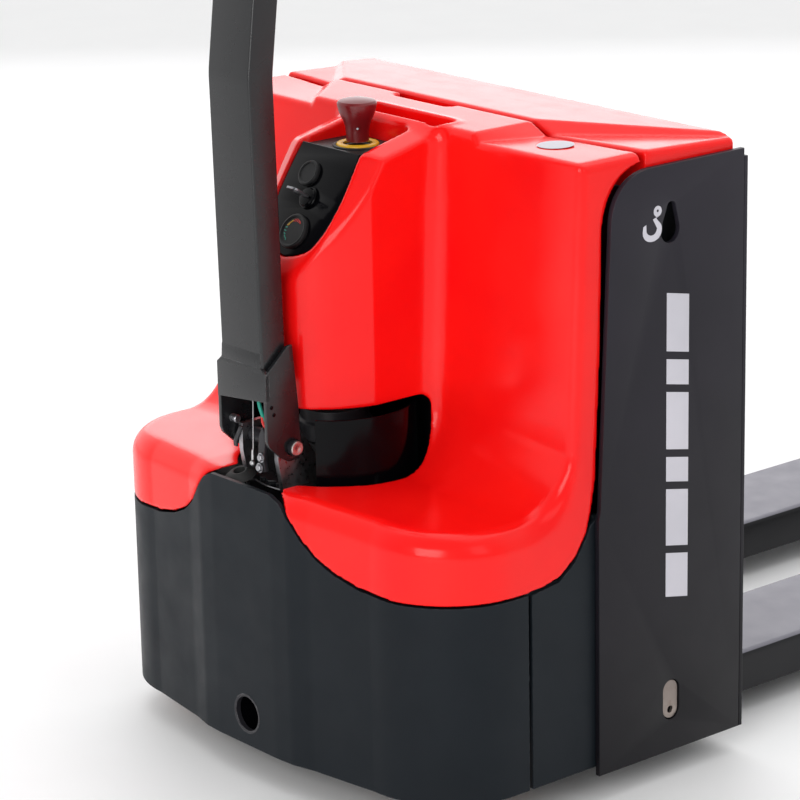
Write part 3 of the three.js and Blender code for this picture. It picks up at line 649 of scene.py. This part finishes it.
def sideEdge():
    lower = [(-357.5, 200), (-357.5, 303), (-338, 304), (-308, 311), (-282, 331), (-264, 358), (-256, 386),
             (-249, 424), (-240, 600), (-238.5, 700)]
    corner = bendPoints((-238, 728), (-236, 770), (-212, 806), (-168, 806), 10)
    return lower + corner + [(-100, 806), (-100, 200)]


def apronField(x, z):
    line = [(-px, pz + 2.5) for px, pz in apronLine[:0:-1]] + [(px, pz + 2.5) for px, pz in apronLine]
    return outlineField(x, z, [(-400, 150)] + line + [(400, 150)])


def dashOutline(grow, top):
    # u across, v down the slope from the crease
    k = 1 / math.cos(dashLean)
    right = [(57 + grow, top), (57 + grow, 0)]
    right += bendPoints((58.5 + grow, 20), (61 + grow, 62), (62 + grow, 100), (44 + grow, 128), 8)
    tip = 122 * k
    right += bendPoints((38 + grow, 134), (26 + grow, 142), (12, tip + grow), (0, tip + 1.5 + grow), 5)
    return right + [(-u, v) for u, v in right[-2::-1]]


def makeCover():
    piece = fieldPiece("frontCover", coverField, (-357, -536, 290), (357, -154, 836), coverSet["cell"])
    relax = piece.modifiers.new("relax", "SMOOTH")
    relax.factor, relax.iterations = 0.5, 3
    settle(piece, "chassis", "red_cover", "front_cover")
    print("front cover:", len(piece.data.polygons), "faces")


lidSet = {"front": -166, "rear": -14, "low": 764, "round": 7, "wall": 4, "cell": 2.6}


def lidField(x, y, z):
    s = lidSet
    side = np.abs(x)
    centre = 828 - 10 * (y - s["front"]) / (s["rear"] - s["front"])
    facet = 828 - 0.4286 * (side - np.where(x < 0, 234, 152)) + 0.4833 * (y + 158)
    edge = 813 + np.maximum(side - 187, 0) * 0.041 - 0.043 * (y + 158)
    top = z - np.maximum(edge, np.minimum(centre, facet))
    block = bothOf(side - coverSet["halfWide"], np.maximum(s["front"] - y, y - s["rear"]), 6)
    body = bothOf(block, top * 0.97, s["round"])
    shell = np.maximum(body, -(body + s["wall"]))
    return bothOf(shell, s["low"] - z, 1.5)


def makeLid():
    piece = fieldPiece("batteryLid", lidField, (-357, -165, 758), (357, -8, 836), lidSet["cell"])
    relax = piece.modifiers.new("relax", "SMOOTH")
    relax.factor, relax.iterations = 0.5, 2
    settle(piece, "battery_lid", "red_cover", "battery_lid")


makeCover()
makeLid()


apronSet = {"low": 45, "thick": 6, "seam": -361, "towHole": (0, 88, 25)}


def makeApron():
    s = apronSet
    plan = planOutline(0, s["seam"])
    plan = [plan[-i] for i in range(1, len(plan) // 2 + 1)][::-1] + plan[:len(plan) // 2 + 1]
    fine = []
    for (ax, ay), (bx, by) in zip(plan, plan[1:]):
        steps = max(1, int(math.hypot(bx - ax, by - ay) / 5))
        fine += [(ax + (bx - ax) * i / steps, ay + (by - ay) * i / steps) for i in range(steps)]
    fine.append(plan[-1])
    lineX, lineZ = zip(*apronLine)
    points, faces = [], []
    rows = 14
    for x, y in fine:
        top = np.interp(abs(x), lineX, lineZ)
        points += [(x, y, s["low"] + (top - s["low"]) * k / rows) for k in range(rows + 1)]
    for i in range(len(fine) - 1):
        for k in range(rows):
            a = i * (rows + 1) + k
            faces.append((a, a + rows + 1, a + rows + 2, a + 1))
    piece = meshPiece("frontApron", points, faces, None)
    thick = piece.modifiers.new("thick", "SOLIDIFY")
    thick.thickness, thick.offset = s["thick"] * mm, -1
    x, z, r = s["towHole"]
    cutter = turnedPiece("towCutter", [(0, 0), (r, 0), (r, 60), (0, 60)], (x, frontY - 20, z), (0, 1, 0), 48)
    cutter.hide_render = True
    hole = piece.modifiers.new("towHole", "BOOLEAN")
    hole.object, hole.operation, hole.solver = cutter, "DIFFERENCE", "EXACT"
    graph = bpy.context.evaluated_depsgraph_get()
    mesh = bpy.data.meshes.new_from_object(piece.evaluated_get(graph))
    piece.modifiers.clear()
    piece.data = mesh
    bpy.data.objects.remove(cutter)
    mesh.shade_smooth()
    roundEdges(piece, 1.2, 2, 50)
    settle(piece, "chassis", "apron", "front_apron", "black_plate")
    # rolled lip round the towing hole
    mouth = (x, frontY, z)
    well = [(r - 0.4, 3), (r - 0.4, 34), (0, 34), (0, 35), (r + 1, 35), (r + 1, 3), (r - 0.4, 3)]
    settle(turnedPiece("towHoleWell", well, mouth, (0, 1, 0), 40), "chassis", "gloss_black")
    lip = [(r - 2, 7), (r - 2, 0.2), (r - 0.5, -0.6), (r + 1.2, -0.6), (r + 1.8, 0.2), (r + 1.8, 1),
           (r - 0.6, 1.2), (r - 0.6, 7)]
    settle(turnedPiece("towHoleLip", lip, mouth, (0, 1, 0), 48), "chassis", "dark_plate")


plateSet = {"thick": 8, "outer": 360, "low": 35, "high": 800, "rear": -6.3, "front": -252, "edge": 1.0}


def plateOutline():
    s = plateSet
    corner = bendPoints((-231, 741), (-229, 776), (-204, 799), (-166, s["high"]), 14)
    return [(s["rear"], s["low"]), (s["rear"], s["high"])] + corner[::-1] + [(-249, 384), (s["front"], 372),
                                                                              (s["front"], s["low"])]


def keyhole():
    return circlePoints(-133, 718, 16, 20, 165, 375) + circlePoints(-131.5, 746, 7.5, 12, 10, 170)


def windowOval(grow=0.0):
    return circlePoints(-128, 92, 14 + grow, 14, 180, 360) + circlePoints(-128, 118, 14 + grow, 14, 0, 180)


def makeSidePlates():
    for label, s in (("left", -1), ("right", 1)):
        outer, inner = plateSet["outer"], plateSet["outer"] - plateSet["thick"]
        low, high = sorted((s * inner, s * outer))
        plate = platePiece("sidePlate_" + label, plateOutline(), "x", low, high, (keyhole(), windowOval()),
                           plateSet["edge"])
        settle(plate, "lifting_frame", "black_plate", "side_plate_" + label)
        low, high = sorted((s * (inner + 1), s * (inner + 6)))
        hole = circlePoints(-128, 91, 4.6, 16)
        lock = platePiece("lockPlate_" + label, windowOval(-1.2), "x", low, high, (hole,), 0.8)
        settle(lock, "lifting_frame", "lockPlate", "lock_plate_" + label, "steel")
        makeMarks(label, s, outer)


markSet = {"bars": ((640, 566), (556, 524), (514, 440), (430, 398), (388, 314), (304, 246)),
           "near": -139, "far": -101, "slant": 8}


def makeMarks(label, s, outer):
    # hook sign by the keyhole and a row of plain slanted bars, printed on the plate
    low, high = sorted((s * (outer + 0.05), s * (outer + 0.45)))
    m = markSet
    parts = []
    for i, (top, bottom) in enumerate(m["bars"]):
        lean = m["slant"]
        bar = [(m["near"], bottom), (m["far"], bottom - lean), (m["far"], top - lean), (m["near"], top)]
        parts.append(platePiece("bar", bar, "x", low, high, (), 0.15))
    settle(joinPieces("plateBars_" + label, parts), "lifting_frame", "mark")
    hook = circlePoints(-155, 745, 6.5, 20, -60, 240)
    ring = circlePoints(-155, 745.5, 1.8, 12)
    shank = bendPoints((-158, 739), (-156, 732), (-147, 730), (-148, 722), 8)
    belly = bendPoints((-148, 722), (-148, 704), (-180, 704), (-180, 722), 12)
    inner = bendPoints((-174, 724), (-174, 716), (-158, 712), (-156, 724), 12)
    outline = hook + shank[1:] + belly[1:] + [(-179, 729), (-174, 731)] + inner[1:] + [(-163, 736)]
    sign = platePiece("hookSign_" + label, outline, "x", low, high, (ring,), 0.15)
    settle(sign, "lifting_frame", "mark")


stickerSet = {"place": (243, -214), "half": (22, 24)}


def makeSticker():
    # blank oval sticker on the wing top
    x, y = stickerSet["place"]
    halfX, halfY = stickerSet["half"]
    z = 817.4 + 1.1 * (x - 187) / 164
    outline = circlePoints(0, 0, halfX, 40, ry=halfY)
    turn = Matrix.Translation(at(x, y, z + 0.1)) @ Matrix.Rotation(math.radians(-0.4), 4, "Y")
    settle(platePiece("ovalSticker", outline, "z", -0.15, 0.15, (), 0.05, turn), "chassis", "mark")


makeApron()
makeSidePlates()
makeSticker()
print("apron, side plates and marks made")


tubeSet = {"wide": 82, "deep": 38, "wall": 4, "low": 520, "kink": 913, "top": 1100, "lean": 1.0,
           "headLean": 6.9, "corner": 3.2}


def tubeLine(z):
    s = tubeSet
    low = math.tan(math.radians(s["lean"]))
    high = math.tan(math.radians(s["headLean"]))
    y = -502 - (min(z, s["kink"]) - 640) * low
    return y + max(0, z - s["kink"]) * high


def makeTube():
    s = tubeSet
    levels = [s["low"], 700] + [s["kink"] + step for step in (-12, -5, 0, 5, 12)] + [s["top"]]
    rings = []
    for z in levels + levels[::-1]:
        inner = len(rings) >= len(levels)
        cut = s["wall"] if inner else 0
        half, deep = s["wide"] / 2 - cut, s["deep"] / 2 - cut
        y = tubeLine(z)
        if abs(z - s["kink"]) < 6:
            y += 0.35 * (6 - abs(z - s["kink"])) / 6
        corner = s["corner"] - cut * 0.7
        rings.append([(u, y + v, z) for u, v in softBox(-half, half, -deep, deep, corner, 6)])
    rings.append(rings[0])
    n = len(rings[0])
    points = [p for ring in rings[:-1] for p in ring]
    total = len(points)
    faces = []
    for k in range(len(rings) - 1):
        for i in range(n):
            j = (i + 1) % n
            quad = (k * n + i, k * n + j, (k + 1) * n + j, (k + 1) * n + i)
            faces.append(tuple(q % total for q in quad))
    piece = meshPiece("tillerTube", points, faces, 40)
    settle(piece, "tiller", "tiller", "tiller_tube", "black_plate")
    # blank label above the kink
    z0, z1 = s["kink"] + 77, s["kink"] + 137
    lean = math.radians(s["headLean"])
    face = Vector((0, -math.cos(lean), -math.sin(lean)))
    up = Vector((0, math.sin(lean), math.cos(lean)))
    foot = at(0, tubeLine((z0 + z1) / 2), (z0 + z1) / 2) + face * (s["deep"] / 2 * math.cos(lean) + 0.3) * mm
    turn = Matrix.Translation(foot) @ Matrix((Vector((1, 0, 0)), up, -face)).transposed().to_4x4()
    label = platePiece("tillerLabel", softBox(-20.5, 20.5, -30, 30, 2), "z", -0.2, 0.2, (), 0.1, turn)
    settle(label, "tiller", "label")


makeTube()


bracketSet = {"half": 49.5, "sheet": 5.5, "pin": (-480, 445), "pinHole": 10.3, "capAt": 56}


def makeBracketParts():
    # folded bracket: two cheeks and a front wall that runs up onto the tube
    s = bracketSet
    half, inner = s["half"], s["half"] - s["sheet"]
    pinY, pinZ = s["pin"]
    cheek = [(-521, 544), (-486, 576), (-478, 577), (-471, 500), (-467, 442), (-472, 429), (-488, 428),
             (-500, 435), (-518, 452), (-521, 460)]
    holes = (circlePoints(pinY, pinZ, s["pinHole"], 28),)
    spans = ((-half, -inner), (inner, half))
    walls = [platePiece("cheek", cheek, "x", low, high, holes, 0.8) for low, high in spans]
    front = [(-half, 500), (half, 511), (half, 545), (41, 552), (-41, 552), (-half, 545)]
    walls.append(platePiece("front", front, "y", -521.3, -515.5, (), 0.5))
    ramp = [(-521, 547), (-516.8, 547), (-517.4, 575), (-520, 570), (-520.9, 556)]
    walls.append(platePiece("ramp", ramp, "x", -39.5, 39.5, (), 0.2))
    settle(joinPieces("tillerBracket", walls), "tiller", "tiller", "tiller_bracket", "black_plate")
    bolt = [(0, 0), (4.4, 0), (4.4, 3), (5.2, 3.2), (5.2, 5.4), (4.4, 5.6), (4.4, 7), (5.2, 7.2), (5.2, 9.4),
            (4.4, 9.6), (4.4, 11), (5.2, 11.2), (5.2, 13.4), (4.2, 14.4), (0, 14.4)]
    settle(turnedPiece("clampBolt", bolt, (-45.6, -505, 469), (1, 0, 0), 24), "tiller", "steel")
    spring = [(-22, -507, 462), (-27, -508, 452), (-33.5, -508, 441), (-34.5, -507, 434)]
    strips = [wirePiece("strip", [(x + d, y, z) for x, y, z in spring], 1.7, False) for d in (-2, 0, 2)]
    settle(joinPieces("bentStrip", strips), "drive_unit", "dark_plate")
    rod = wirePiece("rod", [(5.8, -508, 508), (2.6, -508, 437), (1, -508, 424)], 0.8, False)
    ferrule = [(0, 0), (1.9, 0), (1.9, 12), (1.3, 13), (0, 13)]
    sleeve = turnedPiece("sleeve", ferrule, (1, -508, 424), (0.05, 0, 1), 16)
    ballShape = [(4 * math.sin(math.pi * i / 12), -4 * math.cos(math.pi * i / 12)) for i in range(13)]
    ball = turnedPiece("ball", ballShape, (0.6, -508, 419), (0, 0, 1), 20)
    settle(joinPieces("cableRod", [rod, sleeve, ball]), "tiller", "alloy")
    arm = [(-4, 458), (3, 470), (8, 462), (8, 448), (4, 430), (6, 412), (-4, 410), (-8, 424), (-6, 444)]
    arm = [(u + 16, z) for u, z in arm]
    settle(platePiece("yoke", arm, "y", -506, -499, (), 1.2), "tiller", "dark_plate")
    heads = [screwHead("head", (x, -507, z), (0, -1, 0), 8, 4) for x, z in ((17.5, 430), (14, 416))]
    settle(joinPieces("yokeBolts", heads), "tiller", "steel")
    teal = wirePiece("tealWire", [(12, -504, 512), (14, -505, 500), (19, -505, 488), (21, -502, 478)], 2.6)
    settle(teal, "tiller", "tealWire")
    red = wirePiece("redWire", [(20, -504.5, 483), (19.5, -504.5, 477), (22, -500, 466)], 2.2)
    settle(red, "tiller", "redWire")
    rivet = [(0, -0.4), (2.6, -0.4), (2.6, 0.25), (2, 0.35), (0, 0.35)]
    rivets = [turnedPiece("dot", rivet, (half, y, z), (1, 0, 0), 16) for y, z in ((-513, 503), (-509.5, 493))]
    settle(joinPieces("cheekRivets", rivets), "tiller", "gloss_black")
    cap = [(0, 0), (9.2, 0), (9.2, 0.6), (8.2, 1.4), (3, 1.6), (2.2, 1.2), (0, 1.2)]
    pins = [turnedPiece("cap", cap, (side * s["capAt"], pinY, pinZ), (side, 0, 0), 32) for side in (-1, 1)]
    settle(joinPieces("pinCaps", pins), "drive_unit", "turnedPin")
    grommet = [(8, 0), (19, 0), (21, 1.4), (20, 3.6), (15, 7), (10, 9.5), (8, 9)]
    boot = turnedPiece("cableGrommet", grommet + grommet[:1], (-37, -499, 391), (0, -0.3, 1), 36)
    settle(boot, "chassis", "rubber")


def makeNotchedRing():
    # saw-toothed stop segment low on the drive, with a bright lower rim
    outline = []
    for i in range(29):
        a = math.radians(-126 + i * 2.7)
        r = 108 - (5 if i % 4 > 1 else 0)
        outline.append((r * math.cos(a), steerY + r * math.sin(a)))
    turns = [math.radians(-126 + i * 5.4) for i in range(15)]
    inner = [(84 * math.cos(a), steerY + 84 * math.sin(a)) for a in turns]
    plate = platePiece("stopSegment", outline + inner[::-1], "z", 383, 390, (), 0.6)
    settle(plate, "drive_unit", "tiller")
    turns = [math.radians(a) for a in range(-126, -50, 4)]
    rim = [(109 * math.cos(a), steerY + 109 * math.sin(a), 383) for a in turns]
    settle(wirePiece("segmentRim", rim, 1.2), "drive_unit", "alloy")


makeBracketParts()
makeNotchedRing()


stopSet = {"y": -327}


def makeStopButton():
    y = stopSet["y"]
    cap = [(0, 857), (9, 856.7), (18, 855.6), (23, 854), (25, 851.4), (25, 848.6), (23.4, 842), (20.5, 834),
           (17.6, 828), (15.6, 822), (14.6, 815), (14.4, 806), (14.4, 803), (0, 803)]
    knob = turnedPiece("stopKnob", cap[::-1], (0, y, 0))
    settle(knob, "stop_knob", "knobRed", "stop_knob", "red_cover")
    ring = [(18.6, 797.4), (27, 797.4), (27, 799.2), (26, 800.8), (23.5, 801.6), (20.5, 801.4), (18.6, 800.4)]
    for side in (-1, 1):
        screw = turnedPiece("stopScrew", [(0, 0), (1.6, 0), (1.6, 0.8), (1, 1.2), (0, 1.2)],
                            (side * 6.2 + 10, y - 12.6, 822), (0.55, -0.83, 0.1), 14)
        settle(screw, "stop_knob", "steel")
    base = turnedPiece("stopRing", ring + ring[:1], (0, y, 0))
    settle(base, "chassis", "yellow_plastic", "stop_base")
    hole = circlePoints(0, y, 12, 24)
    shelf = platePiece("stopShelf", softBox(-56, 56, -371, -287, 14), "z", 793.6, 797.2, (hole,), 0.8)
    settle(shelf, "chassis", "black_plastic")
    collar = [(27.4, 797.2), (32, 797.2), (32, 798.2), (31, 799), (28, 799), (27.4, 797.2)]
    settle(turnedPiece("stopCollar", collar, (0, y, 0)), "chassis", "black_plastic")


def dashTurn(u, v, lift):
    # frame lying on the dash: x across, y up the slope, z out of it
    out = Vector((0, -math.cos(dashLean), math.sin(dashLean)))
    up = Vector((0, math.sin(dashLean), math.cos(dashLean)))
    foot = at(0, *dashTop) + (Vector((u, 0, 0)) - up * v + out * lift) * mm
    return Matrix.Translation(foot) @ Matrix((Vector((1, 0, 0)), up, out)).transposed().to_4x4()


def onDash(u, v, lift):
    p = dashTurn(u, v, lift).translation
    return (p.x / mm, (p.y - forkFace) / mm, p.z / mm)


def makeDash():
    out = (0, -math.cos(dashLean), math.sin(dashLean))
    outline = [(u, -v) for u, v in dashOutline(0, -1)]
    holes = (circlePoints(0, -68, 12.6, 28),)
    panel = platePiece("dashPanel", outline, "z", 0.3, 5, holes, 1.4, dashTurn(0, 0, 2.65))
    settle(panel, "chassis", "gloss_black", "dash_panel")
    bezel = [(0, 0.3), (23, 0.3), (23, 4), (22.2, 5.4), (20.5, 6), (18.6, 5.2), (18, 4.2), (0, 4.2)]
    gauge = turnedPiece("gaugeBezel", bezel, onDash(2, 114, 5), out)
    settle(gauge, "chassis", "black_plastic", "battery_gauge", "gloss_black")
    small = [(0, 0.3), (17, 0.3), (17, 4), (16, 5.6), (14.6, 6), (13.2, 5.2), (12.8, 4.4), (0, 4.4)]
    meter = turnedPiece("meterBezel", small, onDash(-16, 38, 5), out)
    settle(meter, "chassis", "black_plastic", "hour_meter", "gloss_black")
    lock = [(0, -4), (12, -4), (12, 0.4), (14.5, 0.4), (14.5, 2.4), (13.6, 3.4), (12.4, 3.8), (11.2, 5.6),
            (10, 6), (0, 6)]
    keyLock = turnedPiece("keyLock", lock, onDash(0, 68, 5), out)
    settle(keyLock, "chassis", "gloss_black", "key_switch", "steel")
    # scale of the gauge: short marks round an arc, red to green
    for look, first, last in (("redWire", 150, 200), ("yellow_plastic", 215, 245), ("tealWire", 260, 330)):
        parts = []
        for k in range(5):
            a = math.radians(first + (last - first) * k / 4)
            u, v = 2 + 14 * math.sin(a), 114 + 14 * math.cos(a)
            parts.append(platePiece("tick", softBox(-0.7, 0.7, -2, 2, 0.3, 2), "z", -0.15, 0.15, (), 0.1,
                                    dashTurn(u, v, 9.4) @ Matrix.Rotation(-a, 4, "Z")))
        settle(joinPieces("gaugeMarks_" + look, parts), "chassis", look)


makeStopButton()
makeDash()
print("tiller, bracket, stop button and dash made")


keptNodes = {  # CAD nodes that keep their shape
    # node: (look, edge radius in mm)
    "chassis_frame": ("apron", 1.2), "ignition_key": ("steel", 0.5), "turntable": ("steel", 0.8),
    "drum_guard": ("gloss_black", 0.8), "pivot_pin": ("dark_plate", 0.8),
    "drive_gearbox": ("cast_iron", 2.0), "drive_wheel_hub": ("alloy", 1.0),
    "drive_wheel_tyre": ("rubber", 1.0), "traction_motor": ("cast_iron", 0.8),
    "motor_brake": ("dark_plate", 1.0), "caster_fork_left": ("steel", 0.8),
    "caster_fork_right": ("steel", 0.8), "caster_wheel_left": ("polyurethane", 0.8),
    "caster_wheel_right": ("polyurethane", 0.8), "tiller_bracket": ("tiller", 1.4),
    "head_core": ("black_plastic", 3.0), "grip_left": ("rubber", 0.8), "grip_right": ("rubber", 0.8),
    "throttle": ("grey_plastic", 1.5), "lift_button": ("grey_plastic", 0.8),
    "lower_button": ("grey_plastic", 0.8), "horn_button": ("grey_plastic", 0.8),
    "belly_button": ("red_cover", 1.5), "lift_frame": ("black_plate", 1.0), "fork_left": ("fork", 1.5),
    "fork_right": ("fork", 1.5), "load_arm_left": ("steel", 0.6), "load_arm_right": ("steel", 0.6),
    "load_wheel_left": ("polyurethane", 0.8), "load_wheel_right": ("polyurethane", 0.8),
    "push_rod_left": ("steel", 0.4), "push_rod_right": ("steel", 0.4), "torsion_shaft": ("steel", 0.8),
    "battery": ("grey_plastic", 2.0), "battery_plug": ("grey_plastic", 1.0),
    "lift_barrel": ("dark_plate", 0.8), "lift_ram": ("alloy", 0.4),
    "motor_controller": ("dark_plate", 1.5), "hydraulic_tank": ("black_plastic", 3.0),
    "pump_motor": ("dark_plate", 1.0), "contactor": ("grey_plastic", 1.0), "horn": ("black_plastic", 1.0),
}


def dressNodes():
    for name, (look, edge) in keptNodes.items():
        piece = nodes[name]
        piece.data.materials.clear()
        piece.data.materials.append(looks[look])
        piece.data.shade_smooth()
        roundEdges(piece, edge, 2, 30, weld=True)
    print("finish given to", len(keptNodes), "CAD nodes")


dressNodes()
